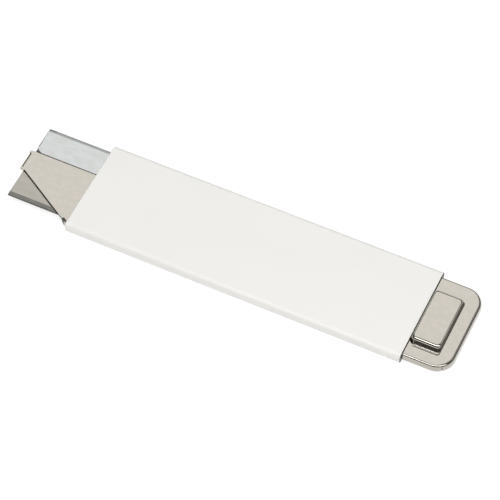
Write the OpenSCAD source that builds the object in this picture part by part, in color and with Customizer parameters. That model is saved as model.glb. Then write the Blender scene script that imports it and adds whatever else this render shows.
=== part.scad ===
// Carton cutter: a flat folded sleeve, and a slide tray that carries a
// single-edge blade out of its front mouth.
// +X runs from the blade to the thumb boss, +Y towards the blade's spine, +Z up.
// The origin is the centre of the sleeve's flat back.

/* [Sleeve] */
// Length of the sleeve
sleeve_l = 75; // [68:1:84]
// Outside width of the sleeve
sleeve_w = 22.9; // [22.5:0.1:24]
// Outside height of the sleeve
sleeve_h = 2.8; // [2.8:0.05:3.2]
// Sheet thickness of the sleeve
sleeve_wall = 0.45; // [0.4:0.05:0.5]
// Outside radius of the folded edges
fold_r = 1; // [0.6:0.05:1]
// Gap where the two edges of the folded sheet meet
seam_gap = 0.2; // [0.1:0.05:0.4]

/* [Slide tray] */
// Outside width of the tray
tray_w = 20.75; // [20.5:0.05:21.2]
// Height of the tray from rim to top
tray_h = 1.7; // [1.66:0.01:1.74]
// Sheet thickness of the tray
tray_wall = 0.5; // [0.45:0.01:0.5]
// How far the tray stands out behind the sleeve
tray_tail = 9.9; // [9.5:0.1:14]
// Plan radius of the two rear corners
tail_r = 4; // [2:0.5:5]
// How far the tray slides to hide the blade
travel = 15.7; // [15.7:0.1:16]

/* [Thumb boss] */
// Length of the boss along the slide
boss_l = 6.6; // [5:0.1:8]
// Width of the boss
boss_w = 13.8; // [10:0.1:16]
// Height of the boss above the plate
boss_h = 1.85; // [1:0.05:2.4]

/* [Blade] */
// Length of the blade
blade_l = 38.1; // [38:0.1:39]
// Width of the blade from edge to back
blade_w = 19.05; // [19:0.05:19.1]
// Thickness of the blade
blade_t = 0.23; // [0.22:0.01:0.25]
// How much of the blade stands out of the sleeve
blade_out = 14.65; // [12:0.05:14.65]
// Width of the folded spine
spine_w = 6.75; // [6.35:0.05:6.8]
// Thickness over the folded spine
spine_t = 1.08; // [1:0.02:1.1]

/* [Hidden] */

$fn = 48;
eps = 0.01;

front_x = -sleeve_l / 2;
rear_x = sleeve_l / 2;

// Heights, from the floor of the sleeve up
tray_z0 = sleeve_wall + 0.07;
tray_top = tray_z0 + tray_h;
plate_z0 = tray_top - tray_wall;
blade_z0 = plate_z0 - blade_t;
blade_mid = plate_z0 - blade_t / 2;

// The blade in plan
blade_x0 = front_x - blade_out;
blade_x1 = blade_x0 + blade_l;
blade_back = 9.95;
blade_edge = blade_back - blade_w;
spine_edge = blade_back - spine_w;
spine_web = 0.4;
spine_r = 1.8;
edge_bevel = 0.8;
edge_hone = 0.35;
pip_y = 1;
pip_r = 0.75;
notch_r = 0.9;

// The tray in plan
tail_x = rear_x + tray_tail;
shoulder_x = blade_x1 + 0.3;
tongue_edge = spine_edge - 0.2;
nose_x = blade_x0 - 0.95;
nose_low = tongue_edge - 5.2;
nose_r = 0.6;
lip_h = 0.55;
slope_x0 = nose_x + 1.3;
slope_x1 = front_x - 0.6;

// The thumb boss
boss_x0 = rear_x + 0.1;
boss_y = -0.45;
boss_run = 0.4;
boss_r = 0.9;

// The two leaves under the plate and their rivets
leaf_t = 0.3;
leaf_z0 = plate_z0 - leaf_t;
rivet_r = 0.8;
rivet_fit = 0.02;
rivet_head_r = 1.3;
rivet_head_h = 0.4;
rivet_sink = 0.25;
clamp_y = -3.5;
clamp_w = 6;
clamp_reach = 17;
clamp_l = 9;
clamp_x0 = blade_x1 + 0.3;
clamp_rivet_x = [clamp_x0 + 3, clamp_x0 + 6.6];
spring_y = 5;
spring_w = 5;
spring_x0 = 1;
spring_rivet_x = [spring_x0 + 1.8, spring_x0 + 5];
nub_x = 14;
nub_r = 1.3;
nub_gap = 0.15;
spring_low = sleeve_wall + 0.05;

module bar_xz(points, y, w) {
    // A profile in X and Z, drawn out to width w about y
    translate([0, y + w / 2, 0])
        rotate([90, 0, 0])
            linear_extrude(w) polygon(points);
}

module bar_yz(x, l) {
    // A profile in Y and Z, drawn out to length l from x
    translate([x, 0, 0])
        rotate([90, 0, 90])
            linear_extrude(l) children();
}

module round_rect(w, h, r) {
    // A rectangle about the origin with round corners
    square([w - 2 * r, h], center = true);
    square([w, h - 2 * r], center = true);
    for (x = [-1, 1], y = [-1, 1])
        translate([x * (w / 2 - r), y * (h / 2 - r)]) circle(r);
}

module sleeve() {
    mid = sleeve_h / 2;
    inner_w = sleeve_w - 2 * sleeve_wall;
    inner_h = sleeve_h - 2 * sleeve_wall;
    slot_l = travel + 2 * nub_gap;
    color("white")
        difference() {
            bar_yz(front_x, sleeve_l)
                translate([0, mid])
                    difference() {
                        round_rect(sleeve_w, sleeve_h, fold_r);
                        round_rect(inner_w, inner_h, fold_r - sleeve_wall);
                    }
            // The meeting edges of the sheet, under the back
            translate([front_x - 1, -spring_y + 0.5, -1])
                cube([sleeve_l + 2, seam_gap, 1 + sleeve_wall + eps]);
            // The slot that the spring's nub runs in
            translate([nub_x - nub_gap, spring_y, -1]) {
                for (x = [0, slot_l])
                    translate([x, 0, 0]) cylinder(h = 2, r = nub_r + nub_gap);
                translate([0, -nub_r - nub_gap, 0])
                    cube([slot_l, 2 * (nub_r + nub_gap), 2]);
            }
        }
}

module tail_outline(inset, front) {
    // The full-width rear part of the tray, with two round corners
    half = tray_w / 2 - inset;
    end = tail_x - inset;
    r = tail_r - inset;
    translate([front, -half]) square([end - r - front, 2 * half]);
    translate([end - r - eps, -half + r]) square([r + eps, 2 * (half - r)]);
    for (y = [-1, 1])
        translate([end - r, y * (half - r)]) circle(r);
}

module tongue_outline() {
    // The plate in front of the shoulder: it leaves the spine and edge bare
    polygon([[nose_x, tongue_edge],
             [nose_x, nose_low + nose_r],
             [nose_x + nose_r, nose_low],
             [slope_x0, nose_low],
             [slope_x1, -tray_w / 2],
             [shoulder_x + eps, -tray_w / 2],
             [shoulder_x + eps, tongue_edge]]);
    translate([nose_x + nose_r, nose_low + nose_r]) circle(nose_r);
}

module boss_form(inset, z0, z1) {
    // A drawn rectangle that leans in towards its rounded top
    steps = [[0, z0], [boss_run * 0.6, z1 - 0.45], [boss_run + 0.35, z1]];
    translate([boss_x0 + boss_l / 2, boss_y, 0])
        hull()
            for (s = steps)
                translate([0, 0, s[1] - eps])
                    linear_extrude(eps)
                        round_rect(boss_l - 2 * (s[0] + inset),
                                   boss_w - 2 * (s[0] + inset),
                                   boss_r - inset, $fn = 32);
}

module rivet_hole(x, y) {
    translate([x, y, plate_z0 - 1]) cylinder(h = 2, r = rivet_r + rivet_fit);
    translate([x, y, tray_top - rivet_sink])
        cylinder(h = rivet_sink + eps, r1 = rivet_r + rivet_fit,
                 r2 = rivet_r + rivet_fit + rivet_sink + eps);
}

module rivet(x, y) {
    translate([x, y, leaf_z0]) cylinder(h = tray_top - leaf_z0, r = rivet_r);
    translate([x, y, leaf_z0 - rivet_head_h])
        cylinder(h = rivet_head_h, r = rivet_head_r);
    translate([x, y, tray_top - rivet_sink])
        cylinder(h = rivet_sink, r1 = rivet_r, r2 = rivet_r + rivet_sink);
}

module slide_tray() {
    wall_h = tray_h - tray_wall + eps;
    color("tan")
        difference() {
            union() {
                translate([0, 0, plate_z0])
                    linear_extrude(tray_wall) {
                        tail_outline(0, shoulder_x);
                        tongue_outline();
                    }
                // The turned-down rim
                translate([0, 0, tray_z0])
                    linear_extrude(wall_h)
                        difference() {
                            tail_outline(0, shoulder_x);
                            tail_outline(tray_wall, shoulder_x - 1);
                        }
                translate([slope_x1, -tray_w / 2, tray_z0])
                    cube([shoulder_x - slope_x1 + eps, tray_wall, wall_h]);
                // The lip in front of the blade
                translate([nose_x, nose_low + nose_r, plate_z0 - lip_h])
                    cube([tray_wall, tongue_edge - nose_low - nose_r, lip_h + eps]);
                // Pips that sit in the blade's end notches
                for (x = [blade_x0, blade_x1])
                    translate([x, pip_y, blade_z0 - 0.05])
                        cylinder(h = blade_t + 0.05 + eps, r = pip_r);
                boss_form(0, tray_top, tray_top + boss_h);
            }
            boss_form(tray_wall, plate_z0, tray_top + boss_h - tray_wall);
            for (x = clamp_rivet_x) rivet_hole(x, clamp_y);
            for (x = spring_rivet_x) rivet_hole(x, spring_y);
        }
}

module razor_blade() {
    half = blade_t / 2;
    back = blade_back - spine_web;
    bevel = blade_edge + edge_hone + edge_bevel;
    hone = blade_edge + edge_hone;
    color("silver")
        difference() {
            bar_yz(blade_x0, blade_l)
                translate([0, blade_mid])
                    polygon([[back, -half], [back, half],
                             [bevel, half], [hone, half * 0.4],
                             [blade_edge, half * 0.05],
                             [blade_edge, -half * 0.05],
                             [hone, -half * 0.4], [bevel, -half]]);
            for (x = [blade_x0, blade_x1])
                translate([x, pip_y, blade_z0 - 1]) cylinder(h = 2, r = notch_r);
        }
}

module blade_spine() {
    z0 = blade_mid - spine_t / 2;
    color("lightsteelblue")
        difference() {
            translate([0, 0, z0])
                linear_extrude(spine_t) {
                    translate([blade_x0, spine_edge + spine_r])
                        square([blade_l, spine_w - spine_r]);
                    translate([blade_x0 + spine_r, spine_edge])
                        square([blade_l - 2 * spine_r, spine_r + eps]);
                    for (x = [blade_x0 + spine_r, blade_x1 - spine_r])
                        translate([x, spine_edge + spine_r]) circle(spine_r);
                }
            translate([blade_x0 - 1, spine_edge - 1, blade_z0])
                cube([blade_l + 2, spine_w + 1 - spine_web, blade_t]);
        }
}

module blade_clamp() {
    // A leaf that is riveted behind the blade and presses it up on the plate
    step = clamp_x0 + 0.8;
    low = blade_z0 - leaf_t;
    color("slategray")
        difference() {
            bar_xz([[clamp_x0 - clamp_reach, low], [step, low],
                    [step + 0.3, leaf_z0], [clamp_x0 + clamp_l, leaf_z0],
                    [clamp_x0 + clamp_l, plate_z0], [clamp_x0, plate_z0],
                    [clamp_x0, blade_z0], [clamp_x0 - clamp_reach, blade_z0]],
                   clamp_y, clamp_w);
            for (x = clamp_rivet_x) rivet_hole(x, clamp_y);
        }
}

module clamp_rivets() {
    color("gainsboro")
        for (x = clamp_rivet_x) rivet(x, clamp_y);
}

module stop_spring() {
    // A leaf that bears on the sleeve's floor; its nub runs in the slot
    pad = spring_x0 + 7;
    foot = nub_x - 2.2;
    end = nub_x + 3;
    top = spring_low + leaf_t;
    color("slategray")
        difference() {
            union() {
                bar_xz([[spring_x0, leaf_z0], [pad, leaf_z0],
                        [foot, spring_low], [end - 0.6, spring_low],
                        [end, spring_low + 0.35], [end, top + 0.35],
                        [end - 0.7, top], [foot + 0.1, top],
                        [pad + 0.1, plate_z0], [spring_x0, plate_z0]],
                       spring_y, spring_w);
                translate([nub_x, spring_y, 0.12])
                    cylinder(h = spring_low - 0.12 + leaf_t / 2, r = nub_r);
            }
            for (x = spring_rivet_x) rivet_hole(x, spring_y);
        }
}

module stop_rivets() {
    color("gainsboro")
        for (x = spring_rivet_x) rivet(x, spring_y);
}

sleeve();
slide_tray();
razor_blade();
blade_spine();
blade_clamp();
clamp_rivets();
stop_spring();
stop_rivets();
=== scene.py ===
"""A carton cutter: a folded white sleeve, a plated slide tray and a single-edge blade.

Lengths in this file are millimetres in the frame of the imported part: +X runs from the
blade to the thumb boss, +Y towards the blade's spine and +Z up. Meshes are scaled to
metres when they are made.
"""

import logging
import math
from dataclasses import dataclass, field
from enum import Enum
from typing import Callable, Sequence

import bmesh
import bpy
from mathutils import Matrix, Vector
from mathutils.geometry import tessellate_polygon


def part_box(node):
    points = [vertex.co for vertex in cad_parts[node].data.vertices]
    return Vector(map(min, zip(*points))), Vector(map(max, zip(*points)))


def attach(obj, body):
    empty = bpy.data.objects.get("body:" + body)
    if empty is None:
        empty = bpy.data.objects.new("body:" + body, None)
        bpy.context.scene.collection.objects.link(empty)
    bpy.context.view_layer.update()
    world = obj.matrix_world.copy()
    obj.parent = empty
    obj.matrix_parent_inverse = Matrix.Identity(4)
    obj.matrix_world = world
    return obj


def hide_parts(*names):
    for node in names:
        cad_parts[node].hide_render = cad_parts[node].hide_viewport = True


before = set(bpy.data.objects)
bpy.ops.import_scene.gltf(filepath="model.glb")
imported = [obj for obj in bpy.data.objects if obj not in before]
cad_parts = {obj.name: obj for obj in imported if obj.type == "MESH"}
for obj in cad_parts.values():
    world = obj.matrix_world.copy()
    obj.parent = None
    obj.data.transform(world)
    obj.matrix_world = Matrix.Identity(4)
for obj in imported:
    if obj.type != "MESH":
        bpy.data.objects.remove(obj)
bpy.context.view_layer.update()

MM = 0.001
# In metres: points closer than WELD become one, and edges shorter than SPLINTER go.
WELD = 2e-7
SPLINTER = 1e-7
LOG = logging.getLogger("carton_cutter")

Plan = tuple[float, float]
Point = tuple[float, float, float]
Colour = tuple[float, float, float]
Walk = Callable[[float], tuple[Vector, Vector]]

# The stop spring's nub: its radius, and how far its centre is from the leaf's toe.
NUB_R = 1.3
NUB_FROM_TOE = 3.0


class Body(Enum):
    """The two rigid bodies of the cutter."""

    SLEEVE = "sleeve_body"
    SLIDE = "slide_body"


class Slot(Enum):
    """The record's material slots."""

    ENAMEL = "white_enamel"
    NICKEL = "nickel_sheet"
    BLADE = "blade_steel"
    SPINE = "spine_metal"
    SPRING = "spring_steel"
    RIVET = "rivet_metal"


class Edge(Enum):
    """How the border of the tray is turned down."""

    RIM = "rim"
    LIP = "lip"


@dataclass(frozen=True)
class Extent:
    """The box of a CAD node, in millimetres.

    Args:
        low: Lowest corner.
        high: Highest corner.
    """

    low: Vector
    high: Vector

    @classmethod
    def of(cls, node: str) -> "Extent":
        """Read a node's box from the frame.

        Args:
            node: Name of the CAD node.

        Returns:
            Its box in millimetres.
        """
        low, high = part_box(node)
        return cls(low / MM, high / MM)

    @property
    def mid_y(self) -> float:
        """Return the middle of the box in Y."""
        return (self.low.y + self.high.y) / 2


def box_of(node: str) -> Extent:
    """Return a dataclass field that reads a node's box when the object is made."""
    return field(default_factory=lambda: Extent.of(node))


def smoothstep(value: float) -> float:
    """Ease a share of 0 to 1 in and out, and clamp it outside."""
    share = min(1.0, max(0.0, value))
    return share * share * (3 - 2 * share)


def mix(first: float, second: float, share: float) -> float:
    """Blend two numbers by a share of 0 to 1."""
    return first + (second - first) * share


def circle(x: float, y: float, radius: float, z: float, count: int) -> list[Point]:
    """Return the points of a level circle.

    Args:
        x: Centre in X.
        y: Centre in Y.
        radius: Radius.
        z: Height.
        count: Number of points.

    Returns:
        The points, anticlockwise from +X.
    """
    angles = [2 * math.pi * k / count for k in range(count)]
    return [(x + radius * math.cos(a), y + radius * math.sin(a), z) for a in angles]


def rounded_path(corners: Sequence[Point], steps: int = 6) -> list[Plan]:
    """Round the corners of an open two-dimensional path.

    Args:
        corners: Points as (u, v, radius); the first and last radius are not used.
        steps: Segments in each arc.

    Returns:
        The points of the rounded path.
    """
    path = [corners[0][:2]]
    for before, here, after in zip(corners, corners[1:], corners[2:]):
        knee = Vector(here[:2])
        back = (Vector(before[:2]) - knee).normalized()
        ahead = (Vector(after[:2]) - knee).normalized()
        half = math.acos(max(-1.0, min(1.0, back.dot(ahead)))) / 2
        radius = here[2]
        if radius <= 0 or half > math.pi / 2 - 1e-4:
            path.append(tuple(knee))
            continue
        reach = radius / math.tan(half)
        centre = knee + (back + ahead).normalized() * (radius / math.sin(half))
        start = knee + back * reach - centre
        finish = knee + ahead * reach - centre
        turn = math.copysign(math.pi - 2 * half, start.x * finish.y - start.y * finish.x)
        for step in range(steps + 1):
            path.append(tuple(centre + Matrix.Rotation(turn * step / steps, 2) @ start))
    path.append(corners[-1][:2])
    return path


class Track:
    """A closed plan line of straight runs and arcs, walked anticlockwise.

    Args:
        corners: Corner points as (x, y, radius).
    """

    arc_pieces = 24

    def __init__(self, corners: Sequence[Point]) -> None:
        """Work out the runs and arcs.

        Args:
            corners: Corner points as (x, y, radius).
        """
        self.parts: list[tuple[float, float, bool, Walk]] = []
        self.marks: list[tuple[float, float]] = []
        count = len(corners)
        knees = []
        for i in range(count):
            here = Vector(corners[i][:2])
            into = (here - Vector(corners[i - 1][:2])).normalized()
            out = (Vector(corners[(i + 1) % count][:2]) - here).normalized()
            turn = math.atan2(into.x * out.y - into.y * out.x, into.dot(out))
            reach = corners[i][2] * math.tan(abs(turn) / 2)
            knees.append((here, into, out, turn, reach, corners[i][2]))
        distance = 0.0
        for i in range(count):
            here, into, out, turn, reach, radius = knees[i]
            start = distance
            length = radius * abs(turn)
            if length > 0:
                side = math.copysign(1.0, turn)
                centre = here - into * reach + Vector((-into.y, into.x)) * radius * side
                walk = self._arc(centre, into, turn, radius)
                self.parts.append((start, start + length, True, walk))
                distance += length
            self.marks.append((start, distance))
            following = knees[(i + 1) % count]
            run = (following[0] - here).length - reach - following[4]
            self.parts.append((distance, distance + run, False, self._run(here + out * reach, out)))
            distance += run
        self.length = distance

    @staticmethod
    def _arc(centre: Vector, into: Vector, turn: float, radius: float) -> Walk:
        """Make a function that walks one arc.

        Args:
            centre: Centre of the arc.
            into: Heading at its start.
            turn: Angle it turns through, positive to the left.
            radius: Its radius.

        Returns:
            A function from the distance along the arc to the point and outward normal.
        """
        length = radius * abs(turn)

        def walk(distance: float) -> tuple[Vector, Vector]:
            """Walk the arc.

            Args:
                distance: Distance along the arc.

            Returns:
                The point and outward normal there.
            """
            heading = Matrix.Rotation(turn * distance / length, 2) @ into
            outward = Vector((heading.y, -heading.x))
            return centre + outward * radius * math.copysign(1.0, turn), outward

        return walk

    @staticmethod
    def _run(start: Vector, heading: Vector) -> Walk:
        """Make a function that walks one straight run.

        Args:
            start: First point of the run.
            heading: Its direction.

        Returns:
            A function from the distance along the run to the point and outward normal.
        """

        def walk(distance: float) -> tuple[Vector, Vector]:
            """Return the point and outward normal at a distance along the run."""
            return start + heading * distance, Vector((heading.y, -heading.x))

        return walk

    def at(self, distance: float) -> tuple[Vector, Vector]:
        """Find a place on the line.

        Args:
            distance: Distance along the line, which wraps round.

        Returns:
            The point and its outward normal.
        """
        distance %= self.length
        for start, end, _, walk in self.parts:
            if distance <= end:
                return walk(distance - start)
        start, _, _, walk = self.parts[-1]
        return walk(distance - start)

    def stations(self, step: float, fine: Sequence[Point]) -> list[float]:
        """Choose the distances at which the line is sampled.

        Args:
            step: Longest stretch between two stations on a run.
            fine: Stretches as (start, end, step) that are sampled more closely.

        Returns:
            Sorted distances, with no two closer than a micrometre.
        """
        found: list[float] = []
        for start, end, is_arc, _ in self.parts:
            pieces = self.arc_pieces if is_arc else max(1, math.ceil((end - start) / step))
            found += [mix(start, end, i / pieces) for i in range(pieces)]
        for start, end, close in fine:
            pieces = max(1, math.ceil((end - start) / close))
            found += [mix(start, end, i / pieces) % self.length for i in range(pieces + 1)]
        found.sort()
        kept = [found[0]]
        for distance in found[1:]:
            if distance - kept[-1] > 1e-3:
                kept.append(distance)
        return kept


class Shell:
    """Collects the points and faces of one piece, in millimetres."""

    def __init__(self) -> None:
        """Start with nothing."""
        self.points: list[Point] = []
        self.faces: list[list[int]] = []
        self.slots: list[int] = []

    def ring(self, points: Sequence[Point]) -> list[int]:
        """Add points.

        Args:
            points: The points.

        Returns:
            Their numbers.
        """
        first = len(self.points)
        self.points += [tuple(p) for p in points]
        return list(range(first, len(self.points)))

    def face(self, corners: Sequence[int], slot: int = 0) -> None:
        """Add one face.

        Args:
            corners: Numbers of its points.
            slot: Its material slot.
        """
        self.faces.append(list(corners))
        self.slots.append(slot)

    def bridge(self, first: list[int], second: list[int], closed: bool = True, slot: int = 0) -> None:
        """Join two rings of the same count with quads.

        Args:
            first: Numbers of one ring.
            second: Numbers of the other ring.
            closed: Whether the rings close on themselves.
            slot: Material slot of the quads.
        """
        count = len(first)
        for i in range(count if closed else count - 1):
            j = (i + 1) % count
            self.face([first[i], first[j], second[j], second[i]], slot)

    def skin(self, rings: Sequence[list[int]], closed: bool = True, slot: int = 0) -> None:
        """Bridge each ring with the next.

        Args:
            rings: Numbers of each ring.
            closed: Whether the rings close on themselves.
            slot: Material slot of the quads.
        """
        for first, second in zip(rings, rings[1:]):
            self.bridge(first, second, closed, slot)

    def fill(self, border: list[int], holes: Sequence[list[int]] = ()) -> None:
        """Fill a flat region that may have holes.

        Args:
            border: Numbers of the outer ring.
            holes: Numbers of each inner ring.
        """
        loops = [list(border), *[list(hole) for hole in holes]]
        numbers = [n for loop in loops for n in loop]
        vectors = [[Vector(self.points[n]) for n in loop] for loop in loops]
        for triangle in tessellate_polygon(vectors):
            self.face([numbers[k] for k in triangle])

    def close(self, rings: Sequence[list[int]]) -> None:
        """Skin a stack of rings and fill its two ends.

        Args:
            rings: Numbers of each ring.
        """
        self.skin(rings)
        self.fill(rings[0])
        self.fill(rings[-1])

    def turned(self, x: float, y: float, profile: Sequence[Plan], count: int = 40) -> list[list[int]]:
        """Add the rings of a turned form that stands upright.

        Args:
            x: Axis in X.
            y: Axis in Y.
            profile: Its outline as (radius, height).
            count: Points in each ring.

        Returns:
            Numbers of each ring.
        """
        return [self.ring(circle(x, y, radius, z, count)) for radius, z in profile]

    def build(self, name: str, finishes: Sequence[bpy.types.Material],
              sharp: float = 40.0) -> bpy.types.Object:
        """Turn the shell into a smooth mesh object.

        Args:
            name: Name of the piece.
            finishes: Material of each slot.
            sharp: Edges that turn by more degrees than this stay crisp.

        Returns:
            The new object, in metres.
        """
        mesh = bpy.data.meshes.new(name)
        mesh.from_pydata([Vector(p) * MM for p in self.points], [], self.faces)
        for finish in finishes:
            mesh.materials.append(finish)
        mesh.polygons.foreach_set("material_index", self.slots)
        work = bmesh.new()
        work.from_mesh(mesh)
        bmesh.ops.remove_doubles(work, verts=work.verts, dist=WELD)
        bmesh.ops.dissolve_degenerate(work, edges=work.edges, dist=SPLINTER)
        bmesh.ops.recalc_face_normals(work, faces=work.faces)
        work.to_mesh(mesh)
        work.free()
        mesh.polygons.foreach_set("use_smooth", [True] * len(mesh.polygons))
        mesh.set_sharp_from_angle(angle=math.radians(sharp))
        piece = bpy.data.objects.new(name, mesh)
        bpy.context.scene.collection.objects.link(piece)
        weighted = piece.modifiers.new("even_normals", "WEIGHTED_NORMAL")
        weighted.keep_sharp = True
        weighted.weight = 100
        return piece


def place(piece: bpy.types.Object, body: Body, node: str) -> None:
    """Put a finished piece on its body in place of its CAD node.

    Args:
        piece: The finished mesh.
        body: The body that carries it.
        node: The CAD node that it stands for.
    """
    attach(piece, body.value)
    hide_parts(node)
    LOG.info("piece %s: %d faces on %s", piece.name, len(piece.data.polygons), body.value)


@dataclass(frozen=True)
class Grain:
    """Noise whose lumps have a real size.

    Args:
        size: Length of a lump along X, Y and Z, in millimetres.
        detail: Octaves of finer noise.
        keep: Share that each octave keeps.
    """

    size: Point
    detail: float = 2.0
    keep: float = 0.5


class Nodes:
    """Builds one procedural material.

    Args:
        name: Name of the material.
    """

    tint_span: Plan = (0.35, 0.65)

    def __init__(self, name: str) -> None:
        """Make an empty material with a shader and an output.

        Args:
            name: Name of the material.
        """
        self.material = bpy.data.materials.new(name)
        self.material.use_nodes = True
        self.tree = self.material.node_tree
        self.tree.nodes.clear()
        output = self.add("ShaderNodeOutputMaterial")
        self.shader = self.add("ShaderNodeBsdfPrincipled")
        self.link(self.shader, "BSDF", output, "Surface")
        self.coordinates = self.add("ShaderNodeTexCoord")

    def add(self, kind: str, **options: str) -> bpy.types.Node:
        """Add a node.

        Args:
            kind: Blender's name of the node.
            **options: Settings of the node.

        Returns:
            The node.
        """
        node = self.tree.nodes.new(kind)
        for name, value in options.items():
            setattr(node, name, value)
        return node

    def link(self, source: bpy.types.Node, out: str | int, target: bpy.types.Node,
             into: str | int) -> None:
        """Join two nodes.

        Args:
            source: Node that gives the value.
            out: Its output.
            target: Node that takes the value.
            into: Its input.
        """
        self.tree.links.new(source.outputs[out], target.inputs[into])

    def set(self, **values: object) -> None:
        """Set the shader's own sockets.

        Args:
            **values: Value of each socket; underscores in a name stand for spaces.
        """
        for name, value in values.items():
            self.shader.inputs[name.replace("_", " ")].default_value = value

    def grain(self, grain: Grain) -> bpy.types.Node:
        """Add noise.

        Args:
            grain: What the noise is like.

        Returns:
            The noise node; its first output is the value.
        """
        scale = self.add("ShaderNodeMapping")
        scale.inputs["Scale"].default_value = [1 / (MM * s) for s in grain.size]
        self.link(self.coordinates, "Object", scale, "Vector")
        noise = self.add("ShaderNodeTexNoise")
        noise.inputs["Scale"].default_value = 1.0
        noise.inputs["Detail"].default_value = grain.detail
        noise.inputs["Roughness"].default_value = grain.keep
        self.link(scale, "Vector", noise, "Vector")
        return noise

    def scaled(self, source: bpy.types.Node, levels: Plan, out: str | int = 0,
               span: Plan = (0.3, 0.7)) -> bpy.types.Node:
        """Map a value onto a range.

        Args:
            source: Node that gives the value.
            levels: Results at the start and end of the span.
            out: Output of the source.
            span: Stretch of the source that is used.

        Returns:
            The mapping node.
        """
        node = self.add("ShaderNodeMapRange")
        node.inputs["From Min"].default_value, node.inputs["From Max"].default_value = span
        node.inputs["To Min"].default_value, node.inputs["To Max"].default_value = levels
        self.link(source, out, node, "Value")
        return node

    def tint(self, source: bpy.types.Node, first: Colour, second: Colour) -> bpy.types.Node:
        """Blend two colours by a value.

        Args:
            source: Node that gives the value.
            first: Colour at the low end.
            second: Colour at the high end.

        Returns:
            A colour ramp node.
        """
        ramp = self.add("ShaderNodeValToRGB")
        ramp.color_ramp.interpolation = "EASE"
        for stop, spot, colour in zip(ramp.color_ramp.elements, self.tint_span, (first, second)):
            stop.position = spot
            stop.color = (*colour, 1.0)
        self.link(source, 0, ramp, "Fac")
        return ramp

    def bump(self, source: bpy.types.Node, height: float,
             under: bpy.types.Node | None = None) -> bpy.types.Node:
        """Add a bump.

        Args:
            source: Node that gives the height as 0 to 1.
            height: Height of the relief, in millimetres.
            under: A bump that this one lies on.

        Returns:
            The bump node, linked to the shader.
        """
        node = self.add("ShaderNodeBump")
        node.inputs["Strength"].default_value = 1.0
        node.inputs["Distance"].default_value = height * MM
        self.link(source, 0, node, "Height")
        if under is not None:
            self.link(under, "Normal", node, "Normal")
        self.link(node, "Normal", self.shader, "Normal")
        return node


@dataclass(frozen=True)
class Finish:
    """A procedural finish: two close colours, a cloud that blends them and a fine relief.

    Args:
        name: Name of the material.
        dark: Colour at the low end of the cloud.
        light: Colour at the high end of the cloud.
        cloud: Grain of the colour.
        relief: Grain of the relief; without one, the cloud makes the relief.
        height: Height of the relief, in millimetres.
        rough: Lowest and highest roughness, which follow the relief.
        metallic: How metallic it is.
        sockets: Other sockets of the shader, by name.
    """

    name: str
    dark: Colour
    light: Colour
    cloud: Grain
    relief: Grain | None = None
    height: float = 0.0
    rough: Plan = (0.4, 0.4)
    metallic: float = 1.0
    sockets: tuple[tuple[str, object], ...] = ()

    def material(self) -> bpy.types.Material:
        """Build the material.

        Returns:
            The new material.
        """
        nodes = Nodes(self.name)
        nodes.set(Metallic=self.metallic, Roughness=self.rough[0], **dict(self.sockets))
        cloud = nodes.grain(self.cloud)
        colour = nodes.tint(cloud, self.dark, self.light)
        self.dress(nodes, colour)
        relief = cloud if self.relief is None else nodes.grain(self.relief)
        if self.rough[0] != self.rough[1]:
            nodes.link(nodes.scaled(relief, self.rough), "Result", nodes.shader, "Roughness")
        if self.height > 0:
            nodes.bump(relief, self.height, self.lower_relief(nodes))
        return nodes.material

    def dress(self, nodes: Nodes, colour: bpy.types.Node) -> None:
        """Link the colour to the shader.

        Args:
            nodes: The material's nodes.
            colour: Node that gives the colour.
        """
        nodes.link(colour, "Color", nodes.shader, "Base Color")

    def lower_relief(self, nodes: Nodes) -> bpy.types.Node | None:
        """Return a bump that lies under the relief, or None."""
        return None


@dataclass(frozen=True)
class Enamel(Finish):
    """Gloss stove enamel on the folded sleeve."""

    name: str = "white_enamel"
    dark: Colour = (0.765, 0.757, 0.73)
    light: Colour = (0.775, 0.765, 0.735)
    cloud: Grain = Grain((14, 9, 9), 1.0)
    relief: Grain | None = Grain((1.1, 1.1, 1.1), 1.5)
    height: float = 0.0022
    rough: Plan = (0.32, 0.32)
    metallic: float = 0.0
    sockets: tuple = (("Coat_Weight", 0.55), ("Coat_Roughness", 0.12), ("Specular_IOR_Level", 0.45))


@dataclass(frozen=True)
class ShearedEdgeAndShade(Finish):
    """Sheared steel at the sleeve's rear end and along the tongue's slope, near-black: partly the bare
    steel's own tone, partly painted shade for the gap and dark reflection beside these edges.
    """

    name: str = "sheared_edge_and_shade"
    # Painted shade: these near-black colours stand partly for the shade beside the cut edges.
    dark: Colour = (0.08, 0.08, 0.075)
    light: Colour = (0.2, 0.195, 0.18)
    cloud: Grain = Grain((0.5, 0.25, 0.08), 3.0)
    height: float = 0.01
    rough: Plan = (0.5, 0.5)
    metallic: float = 0.9


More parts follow.
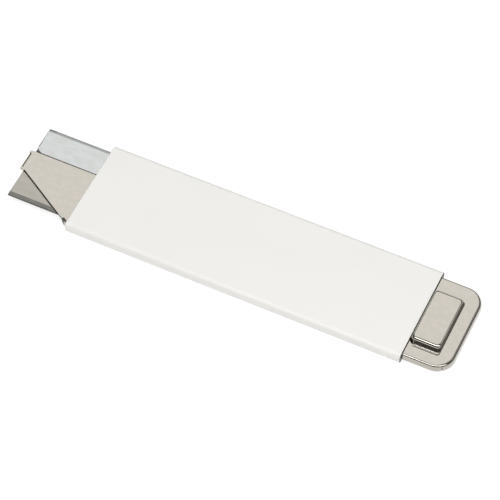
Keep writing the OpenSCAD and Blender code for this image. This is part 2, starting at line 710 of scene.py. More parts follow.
@dataclass(frozen=True)
class NickelSheet(Finish):
    """Warm nickel plate on rolled sheet, with painted shade that darkens the upright walls.

    Args:
        matte: Grain of the satin under the rolling marks.
        matte_height: Height of that satin, in millimetres.
        wall_level: Share of the colour that upright walls keep under the painted shade.
        wall_span: Upright share of the normal over which that fades.
    """

    name: str = "nickel_sheet"
    dark: Colour = (0.605, 0.58, 0.505)
    light: Colour = (0.655, 0.61, 0.56)
    cloud: Grain = Grain((1.6, 1.1, 1.1), 5.0, 0.75)
    relief: Grain | None = Grain((2.4, 0.05, 0.05), 3.0, 0.6)
    height: float = 0.0005
    rough: Plan = (0.06, 0.11)
    matte: Grain = Grain((0.35, 0.22, 0.22), 3.0)
    matte_height: float = 0.002
    # Painted shade: upright walls get a darker base colour, standing in for the shade that falls on them.
    wall_level: float = 0.7
    wall_span: Plan = (0.2, 0.85)

    def dress(self, nodes: Nodes, colour: bpy.types.Node) -> None:
        """Link the colour to the shader, darkened on upright walls as painted shade.

        Args:
            nodes: The material's nodes.
            colour: Node that gives the colour.
        """
        # Painted shade: the colour is multiplied down where the normal faces sideways, on the walls.
        slope = nodes.add("ShaderNodeSeparateXYZ")
        nodes.link(nodes.coordinates, "Normal", slope, "Vector")
        level = nodes.add("ShaderNodeMath", operation="ABSOLUTE")
        nodes.link(slope, "Z", level, 0)
        painted_wall_shade = nodes.add("ShaderNodeMix", data_type="RGBA", blend_type="MULTIPLY")
        painted_wall_shade.inputs["Factor"].default_value = 1.0
        nodes.link(colour, "Color", painted_wall_shade, 6)
        shade = nodes.scaled(level, (self.wall_level, 1.0), 0, self.wall_span)
        nodes.link(shade, "Result", painted_wall_shade, 7)
        nodes.link(painted_wall_shade, 2, nodes.shader, "Base Color")

    def lower_relief(self, nodes: Nodes) -> bpy.types.Node:
        """Return the satin that lies under the rolling marks."""
        return nodes.bump(nodes.grain(self.matte), self.matte_height)


@dataclass(frozen=True)
class BladeBody(Finish):
    """The flat of the hardened blade, with a dark band of painted shade beside the spine.

    Args:
        painted_shade: Colour of the painted shade.
        painted_shade_y: Where the painted shade starts and where it is full, in millimetres.
    """

    name: str = "blade_steel"
    dark: Colour = (0.475, 0.455, 0.405)
    light: Colour = (0.51, 0.485, 0.435)
    cloud: Grain = Grain((4.0, 1.5, 1.5), 3.0)
    relief: Grain | None = Grain((3.0, 0.035, 0.035), 3.0, 0.65)
    height: float = 0.0012
    rough: Plan = (0.16, 0.26)
    # Painted shade: a dark colour blended in beside the spine, where the spine's leg shades the blade.
    painted_shade: Colour = (0.12, 0.12, 0.125)
    painted_shade_y: Plan = (3.15, 3.35)

    def dress(self, nodes: Nodes, colour: bpy.types.Node) -> None:
        """Link the colour to the shader, under the painted shade beside the spine.

        Args:
            nodes: The material's nodes.
            colour: Node that gives the colour.
        """
        spot = nodes.add("ShaderNodeSeparateXYZ")
        nodes.link(nodes.coordinates, "Object", spot, "Vector")
        # Painted shade mask: the base colour turns dark as Y nears the spine.
        painted_shade = nodes.scaled(spot, (0.0, 1.0), "Y", (self.painted_shade_y[0] * MM, self.painted_shade_y[1] * MM))
        blend = nodes.add("ShaderNodeMix", data_type="RGBA")
        nodes.link(painted_shade, "Result", blend, "Factor")
        nodes.link(colour, "Color", blend, 6)
        blend.inputs[7].default_value = (*self.painted_shade, 1.0)
        nodes.link(blend, 2, nodes.shader, "Base Color")


@dataclass(frozen=True)
class GroundBevel(Finish):
    """The coarse ground bevel of the blade."""

    name: str = "ground_bevel"
    dark: Colour = (0.19, 0.185, 0.17)
    light: Colour = (0.27, 0.26, 0.235)
    cloud: Grain = Grain((3.0, 0.12, 0.12), 3.0, 0.6)
    height: float = 0.0012
    rough: Plan = (0.25, 0.25)


@dataclass(frozen=True)
class HonedEdge(GroundBevel):
    """The finer honed edge of the blade."""

    name: str = "honed_edge"
    dark: Colour = (0.1, 0.1, 0.095)
    light: Colour = (0.17, 0.17, 0.165)
    rough: Plan = (0.22, 0.22)


@dataclass(frozen=True)
class SpineMetal(Finish):
    """Bright rolled metal of the folded spine, a little cool."""

    name: str = "spine_metal"
    dark: Colour = (0.665, 0.675, 0.655)
    light: Colour = (0.7, 0.725, 0.725)
    cloud: Grain = Grain((2.6, 1.6, 1.6), 3.0, 0.6)
    relief: Grain | None = Grain((1.8, 0.06, 0.06), 3.0)
    height: float = 0.0012
    rough: Plan = (0.14, 0.22)


@dataclass(frozen=True)
class SpringSteel(Finish):
    """Tempered blue-grey steel of the two leaves."""

    name: str = "spring_steel"
    dark: Colour = (0.16, 0.165, 0.18)
    light: Colour = (0.26, 0.26, 0.27)
    cloud: Grain = Grain((2.0, 1.4, 1.4), 4.0)
    relief: Grain | None = Grain((1.5, 0.04, 0.04), 2.0)
    height: float = 0.001
    rough: Plan = (0.38, 0.38)


@dataclass(frozen=True)
class RivetMetal(Finish):
    """Satin aluminium of the rivets."""

    name: str = "rivet_metal"
    dark: Colour = (0.5, 0.5, 0.49)
    light: Colour = (0.62, 0.62, 0.61)
    cloud: Grain = Grain((0.3, 0.3, 0.3), 4.0)
    height: float = 0.004
    rough: Plan = (0.36, 0.36)


@dataclass(frozen=True)
class PaleFloor(Finish):
    """The pale studio floor, which glows a little so that shadows stay faint."""

    name: str = "pale_floor"
    dark: Colour = (0.36, 0.36, 0.36)
    light: Colour = (0.37, 0.37, 0.37)
    cloud: Grain = Grain((90, 90, 90), 1.0)
    rough: Plan = (0.8, 0.8)
    metallic: float = 0.0
    sockets: tuple = (("Specular_IOR_Level", 0.1), ("Emission_Strength", 0.72),
                      ("Emission_Color", (1, 1, 1, 1)))


@dataclass
class Sleeve:
    """The folded sleeve: one sheet round the tray, with a seam and a slot in its back."""

    box: Extent = box_of("sleeve")
    spring: Extent = box_of("stop_spring")
    wall: float = 0.45
    fold_r: float = 1.0
    fold_steps: int = 10
    seam_y: float = -4.5
    seam_gap: float = 0.2
    slot_r: float = 1.45
    slot_steps: int = 12
    slot_reach: float = 0.4
    travel: float = 15.7
    burr: float = 0.05
    front_ease: float = 0.2
    ease_steps: int = 5

    def wrap(self, inset: float) -> list[Plan]:
        """Trace the sheet from one edge of the seam round to the other.

        Args:
            inset: Depth in the sheet.

        Returns:
            The line as (y, z).
        """
        half = self.box.high.y - inset
        low, high = self.box.low.z + inset, self.box.high.z - inset
        radius = self.fold_r - inset
        path = [(self.seam_y + self.seam_gap, low)]
        for y, z, start in ((half, low, -90), (half, high, 0), (-half, high, 90), (-half, low, 180)):
            centre = Vector((y - math.copysign(radius, y), z + (radius if z == low else -radius)))
            for step in range(self.fold_steps + 1):
                angle = math.radians(start + 90 * step / self.fold_steps)
                path.append(tuple(centre + Vector((math.cos(angle), math.sin(angle))) * radius))
        return [*path, (self.seam_y, low)]

    def slot_ring(self, z: float, grow: float) -> list[Point]:
        """Trace the rim of the slot.

        Args:
            z: Height.
            grow: How far the rim lies outside the slot's own edge.

        Returns:
            The points of the rim.
        """
        front = self.spring.high.x - NUB_FROM_TOE
        slack = self.slot_r - NUB_R
        radius = self.slot_r + grow
        ring = []
        for x, start in ((front + self.travel + slack, -90), (front - slack, 90)):
            for step in range(self.slot_steps + 1):
                angle = math.radians(start + 180 * step / self.slot_steps)
                ring.append((x + radius * math.cos(angle), self.spring.mid_y + radius * math.sin(angle), z))
        return ring

    def _add_end(self, shell: Shell, end: float, inward: int, ease: float, slot: int) -> list[list[int]]:
        """Add one open end of the sheet.

        Args:
            shell: The sleeve's shell.
            end: X of the end.
            inward: Sign of X towards the middle of the sleeve.
            ease: Radius of its outer edge.
            slot: Material slot of the end.

        Returns:
            Numbers of each ring, from the outside of the sheet to its inside.
        """
        arc = [math.pi / 2 * i / self.ease_steps for i in range(self.ease_steps + 1)]
        depths = [(ease * (1 - math.cos(a)), ease * (1 - math.sin(a))) for a in arc]
        depths += [(self.wall - self.burr, 0.0), (self.wall, self.burr)]
        rows = [shell.ring([(end + inward * back, y, z) for y, z in self.wrap(depth)])
                for depth, back in depths]
        shell.skin(rows, closed=False, slot=slot)
        return rows

    def build(self, enamel: bpy.types.Material, edge: bpy.types.Material) -> None:
        """Build the sleeve.

        Args:
            enamel: Finish of the painted faces.
            edge: Finish of the sheared rear end, dark bare steel with painted shade.
        """
        shell = Shell()
        front = self._add_end(shell, self.box.low.x, 1, self.front_ease, 0)
        rear = self._add_end(shell, self.box.high.x, -1, self.burr, 1)
        low = self.box.low.z
        levels = ((low, self.burr), (low + self.burr, 0), (low + self.wall - self.burr, 0),
                  (low + self.wall, self.burr))
        rims = [shell.ring(self.slot_ring(z, grow)) for z, grow in levels]
        shell.skin(rims)
        for first, second, rim in ((front[0], rear[0], rims[0]), (front[-1], rear[-1], rims[-1])):
            shell.bridge(first[1:], second[1:], closed=False)
            reach = shell.ring(self.slot_ring(shell.points[rim[0]][2], self.slot_reach))
            shell.bridge(rim, reach)
            shell.fill([first[0], second[0], second[1], first[1]], [reach])
        for index in (0, -1):
            shell.bridge([row[index] for row in front], [row[index] for row in rear], closed=False)
        place(shell.build("sleeve_shell", [enamel, edge]), Body.SLEEVE, "sleeve")


@dataclass
class SlideTray:
    """The stamped tray: plate, tongue, turned-down rim and lip, and the drawn thumb boss.

    The plan's corners, in order: the nose's far and near corners, the two ends of the
    tongue's slope, the tail's near and far corners, and the two corners of the shoulder.
    """

    box: Extent = box_of("slide_tray")
    blade: Extent = box_of("razor_blade")
    spine: Extent = box_of("blade_spine")
    rivets: Extent = box_of("clamp_rivets")
    stops: Extent = box_of("stop_rivets")
    sleeve: Extent = box_of("sleeve")
    corner_radii: tuple[float, ...] = (0.22, 0.55, 0.6, 0.8, 4.0, 4.0, 0.3, 0.5)
    tongue_gap: float = 0.2
    nose_width: float = 5.2
    nose_flat: float = 1.3
    slope_end: float = 0.6
    shoulder_gap: float = 0.3
    sheet: float = 0.5
    burr: float = 0.05
    burr_share: float = 0.3
    run_step: float = 2.0
    fine_step: float = 0.05
    fine_reach: float = 1.0
    bend_r: float = 0.62
    bend_steps: int = 6
    bend_ease: float = 0.35
    rim_ramp: float = 0.9
    rim_short: float = 0.3
    run_out: float = 0.9
    lip_depth: float = 0.55
    lip_ramp: float = 0.4
    lip_ends: Plan = (0.25, 0.45)
    shear_start: float = 0.1
    relief: float = 0.28
    relief_half: float = 0.14
    relief_offsets: Plan = (2.6, 0.1)
    band: float = 0.1
    boss_gap: float = 0.1
    boss_length: float = 6.6
    boss_width: float = 13.8
    boss_offset: float = -0.45
    boss_foot: float = 0.22
    boss_lean: float = 0.53
    boss_rear_tight: float = 0.38
    boss_front_tight: float = 0.5
    boss_rear_r: float = 0.65
    boss_front_r: float = 1.15
    boss_least_r: float = 0.7
    boss_skin: float = 0.42
    boss_steps: int = 8
    boss_bend_steps: int = 9
    boss_leads: Plan = (1.0, 1.5)
    outside_bends: Plan = (0.4, 0.85)
    inside_bends: Plan = (0.75, 0.35)
    head_r: float = 1.3
    hole_r: float = 0.82
    sink: float = 0.25
    pip_r: float = 0.75
    pip_y: float = 1.0
    pip_depth: float = 0.28

    def __post_init__(self) -> None:
        """Work out the plan from the frame."""
        self.top = self.rivets.high.z
        self.under = self.top - self.sheet
        half = self.box.high.y
        tongue = self.spine.low.y - self.tongue_gap
        nose, tail = self.box.low.x, self.box.high.x
        low = tongue - self.nose_width
        shoulder = self.blade.high.x + self.shoulder_gap
        slope_end = self.sleeve.low.x - self.slope_end
        corners = [(nose, tongue), (nose, low), (nose + self.nose_flat, low), (slope_end, -half),
                   (tail, -half), (tail, half), (shoulder, half), (shoulder, tongue)]
        self.track = Track([(x, y, radius) for (x, y), radius in zip(corners, self.corner_radii)])
        marks = self.track.marks
        self.reliefs = (marks[4][0] + self.relief_offsets[0], marks[5][1] + self.relief_offsets[1])
        self.zones = {
            Edge.RIM: (marks[3][0] - self.run_out, marks[6][0] - self.rim_short),
            Edge.LIP: (marks[0][1] + self.lip_ends[0], marks[1][0] + self.lip_ends[1]),
        }
        self.sheared = (marks[1][1] + self.shear_start, marks[3][0])

    def edge_shape(self, distance: float) -> Point:
        """Say what the sheet's border does at a place.

        Args:
            distance: Distance along the outline.

        Returns:
            Depth below the plate, bend radius and wall thickness there.
        """
        depth, bend, wall = 0.0, self.burr, 2 * self.burr
        rim_depth = self.under - self.box.low.z
        for kind, full, ramp in ((Edge.RIM, rim_depth, self.rim_ramp),
                                 (Edge.LIP, self.lip_depth, self.lip_ramp)):
            start, end = self.zones[kind]
            inside = min(distance - start, end - distance)
            if inside <= 0:
                continue
            share = min(1.0, inside / ramp)
            depth = full * math.sqrt(1 - (1 - share) ** 2)
            eased = smoothstep(inside / self.bend_ease)
            bend = mix(self.burr, self.bend_r, eased)
            wall = mix(2 * self.burr, self.sheet, eased)
        return depth, bend, wall

    def border(self, distance: float) -> list[Plan]:
        """Trace the border's section, from the plate's top to its underside.

        Args:
            distance: Distance along the outline.

        Returns:
            The section as (inset, height).
        """
        depth, bend, wall = self.edge_shape(distance)
        low = self.under - depth
        burr = self.burr
        arc = [math.pi / 2 * i / self.bend_steps for i in range(self.bend_steps + 1)]
        section = [(bend * (1 - math.sin(a)), self.top - bend * (1 - math.cos(a))) for a in arc]
        inner = min(low + burr, self.under)
        ease = burr * self.burr_share
        section += [(0, low + burr), (ease, low + ease), (burr, low), (wall - burr, low),
                    (wall - ease, mix(low, inner, self.burr_share)), (wall, inner),
                    (wall, self.under)]
        nick = max(0.0, 1 - min(abs(distance - spot) for spot in self.reliefs) / self.relief_half)
        sunk = self.relief * nick
        return [(max(inset, min(sunk, wall - burr)), z) for inset, z in section]

    def _inboard(self, point: Point, distance: float) -> Point:
        """Move a border point a little further in on its flat.

        Args:
            point: The point.
            distance: Its distance along the outline.

        Returns:
            The moved point.
        """
        outward = self.track.at(distance)[1]
        return point[0] - outward.x * self.band, point[1] - outward.y * self.band, point[2]

    def boss_ring(self, inset: float, z: float) -> list[Point]:
        """Trace the boss at a height.

        Args:
            inset: How far its near and far sides are drawn in.
            z: Height.

        Returns:
            The points of the outline.
        """
        x = self.sleeve.high.x + self.boss_gap + self.boss_length / 2
        half_y = self.boss_width / 2 - inset
        rear = (self.boss_length / 2 - inset * self.boss_rear_tight, self.boss_rear_r)
        front = (self.boss_length / 2 - inset * self.boss_front_tight, self.boss_front_r)
        ring = []
        for sx, sy, start in ((1, -1, -90), (1, 1, 0), (-1, 1, 90), (-1, -1, 180)):
            half_x, corner = rear if sx > 0 else front
            radius = max(self.boss_least_r, corner - inset)
            for step in range(self.boss_steps + 1):
                angle = math.radians(start + 90 * step / self.boss_steps)
                ring.append((x + sx * (half_x - radius) + radius * math.cos(angle),
                             self.boss_offset + sy * (half_y - radius) + radius * math.sin(angle), z))
        return ring

    def boss_profile(self, under: bool) -> list[Plan]:
        """Trace the boss's wall, from the plate to the crown.

        Args:
            under: Whether it is the wall's inside.

        Returns:
            The wall as (inset, height).
        """
        drop, shift = (self.sheet, self.boss_skin) if under else (0.0, 0.0)
        bends = self.inside_bends if under else self.outside_bends
        foot, crown = self.top - drop, self.box.high.z - drop
        start, lean = self.boss_foot + shift, self.boss_lean + shift
        corners = [(start - self.boss_leads[0], foot, 0), (start, foot, bends[0]),
                   (lean, crown, bends[1]), (lean + self.boss_leads[1], crown, 0)]
        return rounded_path(corners, self.boss_bend_steps)[1:-1]

    def _add_boss(self, shell: Shell, under: bool) -> list[int]:
        """Add one side of the drawn boss.

        Args:
            shell: The tray's shell.
            under: Whether it is the underside.

        Returns:
            Numbers of the ring where it leaves the plate.
        """
        profile = self.boss_profile(under)
        first, last = profile[0], profile[-1]
        profile = [(first[0] - self.band, first[1]), *profile, (last[0] + self.band, last[1])]
        rings = [shell.ring(self.boss_ring(inset, z)) for inset, z in profile]
        shell.skin(rings)
        shell.fill(rings[-1])
        return rings[0]

    def _add_holes(self, shell: Shell) -> tuple[list[list[int]], list[list[int]]]:
        """Add the walls of the four countersunk rivet holes.

        Args:
            shell: The tray's shell.

        Returns:
            The rims on the plate's top and those on its underside.
        """
        profile = ((self.hole_r + self.sink, self.top), (self.hole_r, self.top - self.sink),
                   (self.hole_r, self.under))
        tops, unders = [], []
        for pair in (self.rivets, self.stops):
            for x in (pair.low.x + self.head_r, pair.high.x - self.head_r):
                rings = shell.turned(x, pair.mid_y, profile)
                shell.skin(rings)
                tops.append(rings[0])
                unders.append(rings[-1])
        return tops, unders

    def _add_pips(self, shell: Shell) -> None:
        """Add the two pips under the plate that stand in the blade's notches.

        Args:
            shell: The tray's shell.
        """
        low = self.under - self.pip_depth
        profile = ((self.pip_r, self.under + self.burr), (self.pip_r, low + self.burr),
                   (self.pip_r - self.burr, low))
        for x in (self.blade.low.x, self.blade.high.x):
            shell.close(shell.turned(x, self.pip_y, profile))

    def _skin_border(self, shell: Shell, rows: Sequence[list[int]], stations: Sequence[float]) -> None:
        """Skin the border, with the dark sheared-edge finish, which carries painted shade, where the
        tongue's slope is sheared.

        Args:
            shell: The tray's shell.
            rows: Point numbers of each line of the border's section.
            stations: Distance along the outline of each point in a row.
        """
        start, end = self.sheared
        for row, following in zip(rows, rows[1:]):
            for i, distance in enumerate(stations):
                j = (i + 1) % len(stations)
                bare = start <= distance <= end and row is not rows[0]
                shell.face([row[i], row[j], following[j], following[i]], int(bare))

    def build(self, nickel: bpy.types.Material, edge: bpy.types.Material) -> None:
        """Build the tray.

        Args:
            nickel: Finish of the plated sheet.
            edge: Finish of the sheared slope of the tongue, dark bare steel with painted shade.
        """
        shell = Shell()
        fine = []
        for start, end in self.zones.values():
            fine.append((start - self.fine_step, start + self.fine_reach, self.fine_step))
            fine.append((end - self.fine_reach, end + self.fine_step, self.fine_step))
        for spot in self.reliefs:
            fine.append((spot - self.relief_half, spot + self.relief_half, self.relief_half / 4))
        stations = self.track.stations(self.run_step, fine)
        columns = []
        for distance in stations:
            point, outward = self.track.at(distance)
            columns.append([(point.x - outward.x * inset, point.y - outward.y * inset, z)
                            for inset, z in self.border(distance)])
        rows = [shell.ring(row) for row in zip(*columns)]
        self._skin_border(shell, rows, stations)
        tops, unders = self._add_holes(shell)
        for row, under, holes in ((rows[0], False, tops), (rows[-1], True, unders)):
            band = shell.ring([self._inboard(shell.points[n], stations[i]) for i, n in enumerate(row)])
            shell.bridge(row, band)
            shell.fill(band, [self._add_boss(shell, under), *holes])
        self._add_pips(shell)
        place(shell.build("tray_stamping", [nickel, edge]), Body.SLIDE, "slide_tray")


@dataclass
class RazorBlade:
    """The single-edge blade: a notched body, a ground bevel and a honed edge."""

    box: Extent = box_of("razor_blade")
    bevel: float = 0.8
    hone: float = 0.35
    hone_share: float = 0.4
    edge_share: float = 0.05
    notch_y: float = 1.0
    notch_r: float = 0.9
    notch_steps: int = 12

    def _notch(self, x: float, start: float) -> list[Plan]:
        """Trace one end notch.

        Args:
            x: X of the blade's end.
            start: Direction of the notch's first point, in degrees.

        Returns:
            The points of the notch, clockwise.
        """
        arc = [math.radians(start - 180 * i / self.notch_steps) for i in range(self.notch_steps + 1)]
        return [(x + self.notch_r * math.cos(a), self.notch_y + self.notch_r * math.sin(a)) for a in arc]

    def outline(self) -> list[Plan]:
        """Trace the body from the bevel to the back, with its two end notches.

        Returns:
            The plan; its first two points are the ends of the bevel.
        """
        low, high = self.box.low, self.box.high
        bevel_y = low.y + self.bevel + self.hone
        return [(low.x, bevel_y), (high.x, bevel_y), *self._notch(high.x, -90), (high.x, high.y),
                (low.x, high.y), *self._notch(low.x, 90)]

    def build(self, body: bpy.types.Material, bevel: bpy.types.Material,
              hone: bpy.types.Material) -> None:
        """Build the blade.

        Args:
            body: Finish of the flat.
            bevel: Finish of the ground bevel.
            hone: Finish of the honed edge.
        """
        shell = Shell()
        low, high = self.box.low.z, self.box.high.z
        middle, half = (low + high) / 2, (high - low) / 2
        flats = [shell.ring([(x, y, z) for x, y in self.outline()]) for z in (low, high)]
        count = len(flats[0])
        for flat in flats:
            shell.fill(flat)
        for i in range(1, count):
            j = (i + 1) % count
            shell.face([flats[0][i], flats[0][j], flats[1][j], flats[1][i]])
        edge = self.box.low.y
        sides = []
        for side, flat in ((-1, flats[0]), (1, flats[1])):
            rows = [[flat[0], flat[1]]]
            for y, share in ((edge + self.hone, self.hone_share), (edge, self.edge_share)):
                z = middle + side * half * share
                rows.append(shell.ring([(self.box.low.x, y, z), (self.box.high.x, y, z)]))
            shell.bridge(rows[0], rows[1], closed=False, slot=1)
            shell.bridge(rows[1], rows[2], closed=False, slot=2)
            sides.append(rows)
        for end in (0, 1):
            shell.face([row[end] for row in sides[0]] + [row[end] for row in reversed(sides[1])], 1)
        shell.face(sides[0][2] + sides[1][2][::-1], 2)
        piece = shell.build("blade_body", [body, bevel, hone], sharp=4.0)
        place(piece, Body.SLIDE, "razor_blade")


@dataclass
class BladeSpine:
    """The folded back of the blade: two legs and a rounded fold."""

    box: Extent = box_of("blade_spine")
    blade: Extent = box_of("razor_blade")
    web: float = 0.4
    corner: float = 1.8
    corner_steps: int = 14
    burr: float = 0.06
    burr_share: float = 0.3
    fall_start: float = 1.0
    fall: float = 0.195
    fall_r: float = 1.6
    fold_r: float = 0.3

    def section(self, near: float, inset: float) -> list[Plan]:
        """Return the fold's closed section in Y and Z.

        Args:
            near: Y of the legs' free edges.
            inset: How far the outside is drawn in, for the eased ends.

        Returns:
            Points of the section.
        """
        low, high = self.box.low.z + inset, self.box.high.z - inset
        back = self.box.high.y - inset
        slit_low, slit_high = self.blade.low.z, self.blade.high.z
        web = self.box.high.y - self.web
        outer = rounded_path([
            (near, slit_high, 0), (near, high, self.burr),
            (back - self.fall_start, high, self.fall_r), (back, high - self.fall, self.fold_r),
            (back, low + self.fall, self.fold_r), (back - self.fall_start, low, self.fall_r),
            (near, low, self.burr), (near, slit_low, 0)])
        return [*outer, (web, slit_low), (web, slit_high)]

    def places(self) -> list[Plan]:
        """Choose the sections near one end.

        Returns:
            Distance from the end and inset of each section.
        """
        ease = self.burr
        first = ease * self.burr_share
        corner = [self.corner * (1 - math.cos(math.pi / 2 * i / self.corner_steps))
                  for i in range(1, self.corner_steps + 1)]
        return [(0.0, ease), (first, first), (ease, 0.0),
                *[(round(x, 6), 0.0) for x in corner if x > ease]]

    def build(self, metal: bpy.types.Material) -> None:
        """Build the spine.

        Args:
            metal: Finish of the folded metal.
        """
        shell = Shell()
        rings = []
        for side, origin in ((1, self.box.low.x), (-1, self.box.high.x)):
            row = []
            for x, inset in self.places():
                sagitta = self.corner - math.sqrt(max(0.0, self.corner ** 2 - (self.corner - x) ** 2))
                near = self.box.low.y + sagitta + inset
                row.append(shell.ring([(origin + side * x, y, z) for y, z in self.section(near, inset)]))
            rings += row if side == 1 else row[::-1]
        shell.close(rings)
        place(shell.build("spine_fold", [metal]), Body.SLIDE, "blade_spine")


@dataclass
class Leaf:
    """A strip of spring steel with eased edges, bent along X.

    Args:
        node: CAD node that it stands for.
        name: Name of the piece.
        line: Underside of the strip as (x, z, bend radius).
        nub: Centre X, radius and lowest Z of a pressed nub, or None.
    """

    node: str
    name: str
    line: Sequence[Point]
    nub: Point | None = None
    thickness: float = 0.3
    burr: float = 0.05
    end_taper: float = 0.6
    least_slope: float = 0.5
    pad_length: float = 7.0
    pad_bend: float = 2.5
    foot_back: float = 5.2
    foot_bend: float = 3.0
    toe_back: float = 0.8
    toe_bend: float = 1.5
    toe_lift: float = 0.35
    floor_rise: float = 0.5
    clamp_step: Plan = (0.4, 0.8)
    clamp_bend: float = 0.3
    nub_low: float = 0.12
    nub_top: float = 0.62
    nub_bend: float = 0.25
    nub_flat: float = 0.2

    @classmethod
    def stop_spring(cls) -> "Leaf":
        """Lay out the stop spring, from its pad to its lifted toe.

        Returns:
            The leaf.
        """
        box = Extent.of("stop_spring")
        pad = Extent.of("stop_rivets").low.z + Rivets.head_h
        floor = Extent.of("sleeve").low.z + cls.floor_rise
        line = [(box.low.x, pad, 0), (box.low.x + cls.pad_length, pad, cls.pad_bend),
                (box.high.x - cls.foot_back, floor, cls.foot_bend),
                (box.high.x - cls.toe_back, floor, cls.toe_bend),
                (box.high.x, floor + cls.toe_lift, 0)]
        nub = (box.high.x - NUB_FROM_TOE, NUB_R, cls.nub_low)
        return cls("stop_spring", "stop_leaf", line, nub)

    @classmethod
    def blade_clamp(cls) -> "Leaf":
        """Lay out the blade clamp, from its toe under the blade to its pad.

        Returns:
            The leaf.
        """
        box = Extent.of("blade_clamp")
        blade = Extent.of("razor_blade")
        low, pad = blade.low.z - cls.thickness, box.high.z - cls.thickness
        line = [(box.low.x, low, 0), (blade.high.x + cls.clamp_step[0], low, cls.clamp_bend),
                (blade.high.x + cls.clamp_step[1], pad, cls.clamp_bend), (box.high.x, pad, 0)]
        return cls("blade_clamp", "clamp_leaf", line)

    def build(self, steel: bpy.types.Material) -> None:
        """Build the leaf.

        Args:
            steel: Finish of the leaf.
        """
        box = Extent.of(self.node)
        shell = Shell()
        path = [Vector(p) for p in rounded_path(self.line)]
        rings = []
        last = len(path) - 1
        burr = self.burr
        for i, point in enumerate(path):
            along = (path[min(i + 1, last)] - path[max(i - 1, 0)]).normalized()
            taper = self.end_taper if i in (0, last) else 0.0
            low, high = box.low.y + taper, box.high.y - taper
            thick = self.thickness / max(self.least_slope, along.x)
            section = [(low, burr), (low + burr, 0), (high - burr, 0), (high, burr),
                       (high, thick - burr), (high - burr, thick), (low + burr, thick),
                       (low, thick - burr)]
            rings.append(shell.ring([(point.x, y, point.y + rise) for y, rise in section]))
        shell.close(rings)
        if self.nub is not None:
            x, radius, bottom = self.nub
            profile = rounded_path([(radius, self.nub_top, 0), (radius, bottom, self.nub_bend),
                                    (self.nub_flat, bottom, 0)])
            shell.close(shell.turned(x, box.mid_y, profile))
        place(shell.build(self.name, [steel]), Body.SLIDE, self.node)


@dataclass
class Rivets:
    """A pair of flush rivets with a formed head under the leaf.

    Args:
        node: CAD node that they stand for.
        name: Name of the piece.
    """

    node: str
    name: str
    head_r: float = 1.3
    head_h: float = 0.4
    shank_r: float = 0.8
    sink: float = 0.25
    tip_r: float = 0.02
    dome_share: float = 0.9
    dome_h: float = 0.06
    dome_bend: float = 0.2
    head_bend: float = 0.05
    top_ease: float = 0.02
    top_bevel: float = 0.06
    dimple_r: float = 0.3
    dimple: float = 0.03
    turn: int = 36

    def build(self, metal: bpy.types.Material) -> None:
        """Build both rivets as one piece.

        Args:
            metal: Finish of the rivets.
        """
        box = Extent.of(self.node)
        shell = Shell()
        low, high = box.low.z, box.high.z
        leaf = low + self.head_h
        wide = self.shank_r + self.sink
        profile = rounded_path([
            (self.tip_r, low, 0), (self.head_r * self.dome_share, low + self.dome_h, self.dome_bend),
            (self.head_r, leaf, self.head_bend), (self.shank_r, leaf, 0),
            (self.shank_r, high - self.sink, 0), (wide, high - self.top_ease, self.top_ease),
            (wide - self.top_bevel, high, self.top_ease), (self.dimple_r, high, 0),
            (self.tip_r, high - self.dimple, 0)], steps=4)
        for x in (box.low.x + self.head_r, box.high.x - self.head_r):
            shell.close(shell.turned(x, box.mid_y, profile, self.turn))
        piece = shell.build(self.name, [metal], sharp=50.0)
        place(piece, Body.SLIDE, self.node)


class Dome:
    """Makes a sky whose brightness follows the direction.

    Args:
        tree: The world's node tree.
    """

    def __init__(self, tree: bpy.types.NodeTree) -> None:
        """Add the node that gives the direction.

        Args:
            tree: The world's node tree.
        """
        self.tree = tree
        self.coordinates = tree.nodes.new("ShaderNodeTexCoord")

    def fade(self, axis: Vector, span: Plan, levels: Plan) -> bpy.types.NodeSocket:
        """Fade between two levels with the angle from an axis.

        Args:
            axis: The axis, in the part's frame.
            span: Cosines of the angle at which the fade starts and ends.
            levels: Levels at the start and at the end.

        Returns:
            The socket that carries the level.
        """
        dot = self.tree.nodes.new("ShaderNodeVectorMath")
        dot.operation = "DOT_PRODUCT"
        dot.inputs[1].default_value = axis.normalized()
        self.tree.links.new(self.coordinates.outputs["Generated"], dot.inputs[0])
        ramp = self.tree.nodes.new("ShaderNodeMapRange")
        ramp.interpolation_type = "SMOOTHSTEP"
        ramp.inputs["From Min"].default_value, ramp.inputs["From Max"].default_value = span
        ramp.inputs["To Min"].default_value, ramp.inputs["To Max"].default_value = levels
        self.tree.links.new(dot.outputs["Value"], ramp.inputs["Value"])
        return ramp.outputs["Result"]

    def join(self, operation: str, first: bpy.types.NodeSocket,
             second: bpy.types.NodeSocket | float) -> bpy.types.NodeSocket:
        """Join two levels.

        Args:
            operation: What the math node does.
            first: Socket of one level.
            second: Socket of the other level, or a number.

        Returns:
            The socket that carries the result.
        """
        node = self.tree.nodes.new("ShaderNodeMath")
        node.operation = operation
        self.tree.links.new(first, node.inputs[0])
        if isinstance(second, float):
            node.inputs[1].default_value = second
        else:
            self.tree.links.new(second, node.inputs[1])
        return node.outputs["Value"]


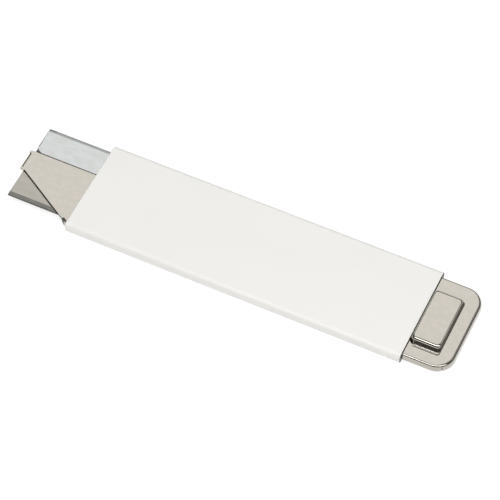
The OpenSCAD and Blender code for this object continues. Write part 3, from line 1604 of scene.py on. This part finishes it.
@dataclass
class Studio:
    """A pale floor, soft light and the camera.

    The lights stand on the camera's side; their spots are (distance, height) and their
    sizes are in metres, as is the camera's clip start. Each span is the cosines of the
    angle from its axis between which the dome fades.
    """

    azimuth: float = 25.43
    elevation: float = 54.93
    distance: float = 491.4
    lens: float = 172.8
    sensor: float = 36.0
    clip_start: float = 0.02
    slide_right: float = -0.647
    slide_up: float = 1.093
    floor_half: float = 3000.0
    sky: float = 1.0
    horizon: float = 0.08
    right_dim: float = 0.28
    left_dim: float = 0.15
    near_dim: float = 0.03
    sky_span: Plan = (0.42, 0.64)
    right_span: Plan = (-0.08, 0.12)
    near_span: Plan = (0.0, 0.12)
    left_span: Plan = (0.42, 0.56)
    least: float = 0.1
    strip_spot: Plan = (365, 490)
    strip_size: Plan = (0.9, 0.1)
    strip_watts: float = 1.6
    panel_spot: Plan = (130, 700)
    panel_size: Plan = (0.7, 0.7)
    panel_watts: float = 3.97

    def view_axes(self) -> tuple[Vector, Vector, Vector]:
        """Work out the camera's directions.

        Returns:
            Its right, up and forward directions.
        """
        azimuth, elevation = math.radians(self.azimuth), math.radians(self.elevation)
        right = Vector((math.cos(azimuth), math.sin(azimuth), 0))
        level = Vector((-math.sin(azimuth), math.cos(azimuth), 0))
        forward = level * math.cos(elevation) - Vector((0, 0, 1)) * math.sin(elevation)
        return right, right.cross(forward), forward

    def near(self) -> Vector:
        """Return the level direction from the part towards the camera."""
        right = self.view_axes()[0]
        return Vector((right.y, -right.x, 0))

    def build(self) -> None:
        """Build the floor, the lights, the world and the camera."""
        self._add_camera()
        self._add_floor()
        self._add_panel("near_strip", self.strip_spot, self.strip_size, self.strip_watts)
        panel = self._add_panel("overhead", self.panel_spot, self.panel_size, self.panel_watts)
        panel.visible_glossy = False
        self._add_world()
        scene = bpy.context.scene
        scene.view_settings.view_transform = "Standard"
        scene.view_settings.look = "None"
        LOG.info("studio: camera, floor, two lights and a dome")

    def _add_camera(self) -> None:
        """Add the camera at the cutter's three-quarter view."""
        right, up, forward = self.view_axes()
        data = bpy.data.cameras.new("camera")
        data.lens = self.lens
        data.sensor_width = self.sensor
        data.clip_start = self.clip_start
        camera = bpy.data.objects.new("camera", data)
        bpy.context.scene.collection.objects.link(camera)
        aim = right * self.slide_right + up * self.slide_up
        turn = Matrix((right, up, -forward)).transposed().to_4x4()
        camera.matrix_world = Matrix.Translation((aim - forward * self.distance) * MM) @ turn
        bpy.context.scene.camera = camera

    def _add_floor(self) -> None:
        """Add the pale floor."""
        shell = Shell()
        corners = ((-1, -1), (1, -1), (1, 1), (-1, 1))
        shell.face(shell.ring([(x * self.floor_half, y * self.floor_half, 0.0) for x, y in corners]))
        floor = shell.build("floor", [PaleFloor().material()])

    def _add_panel(self, name: str, spot: Plan, size: Plan, watts: float) -> bpy.types.Object:
        """Add one area light that faces the part.

        Args:
            name: Name of the light.
            spot: Its distance and height on the camera's side, in millimetres.
            size: Width and height, in metres.
            watts: Power.

        Returns:
            The light.
        """
        data = bpy.data.lights.new(name, "AREA")
        data.shape = "RECTANGLE"
        data.size, data.size_y = size
        data.energy = watts
        light = bpy.data.objects.new(name, data)
        spot_at = self.near() * spot[0] + Vector((0, 0, spot[1]))
        light.location = spot_at * MM
        light.rotation_euler = spot_at.to_track_quat("Z", "Y").to_euler()
        light.visible_camera = False
        bpy.context.scene.collection.objects.link(light)
        return light

    def _add_world(self) -> None:
        """Add a dome that is dim at the horizon and at the sides, so that bends show as dark lines."""
        world = bpy.data.worlds.new("studio_dome")
        world.use_nodes = True
        tree = world.node_tree
        tree.nodes.clear()
        dome = Dome(tree)
        level = dome.fade(Vector((0, 0, 1)), self.sky_span, (self.horizon, self.sky))
        for axis, span, dim in ((Vector((1, 0, 0)), self.right_span, self.right_dim),
                                (self.near(), self.near_span, self.near_dim),
                                (Vector((-1, 0, 0)), self.left_span, self.left_dim)):
            level = dome.join("MULTIPLY", level, dome.fade(axis, span, (1.0, dim)))
        background = tree.nodes.new("ShaderNodeBackground")
        background.inputs["Color"].default_value = (1.0, 1.0, 1.0, 1.0)
        tree.links.new(dome.join("MAXIMUM", level, self.least), background.inputs["Strength"])
        output = tree.nodes.new("ShaderNodeOutputWorld")
        tree.links.new(background.outputs["Background"], output.inputs["Surface"])
        bpy.context.scene.world = world


def main() -> None:
    """Build the studio and the cutter."""
    logging.basicConfig(level=logging.INFO, format="%(name)s: %(message)s")
    Studio().build()
    edge = ShearedEdgeAndShade().material()
    Sleeve().build(Enamel().material(), edge)
    SlideTray().build(NickelSheet().material(), edge)
    RazorBlade().build(BladeBody().material(), GroundBevel().material(), HonedEdge().material())
    BladeSpine().build(SpineMetal().material())
    steel = SpringSteel().material()
    Leaf.blade_clamp().build(steel)
    Leaf.stop_spring().build(steel)
    metal = RivetMetal().material()
    Rivets("clamp_rivets", "clamp_rivet_pair").build(metal)
    Rivets("stop_rivets", "stop_rivet_pair").build(metal)


if __name__ == "__main__":
    main()
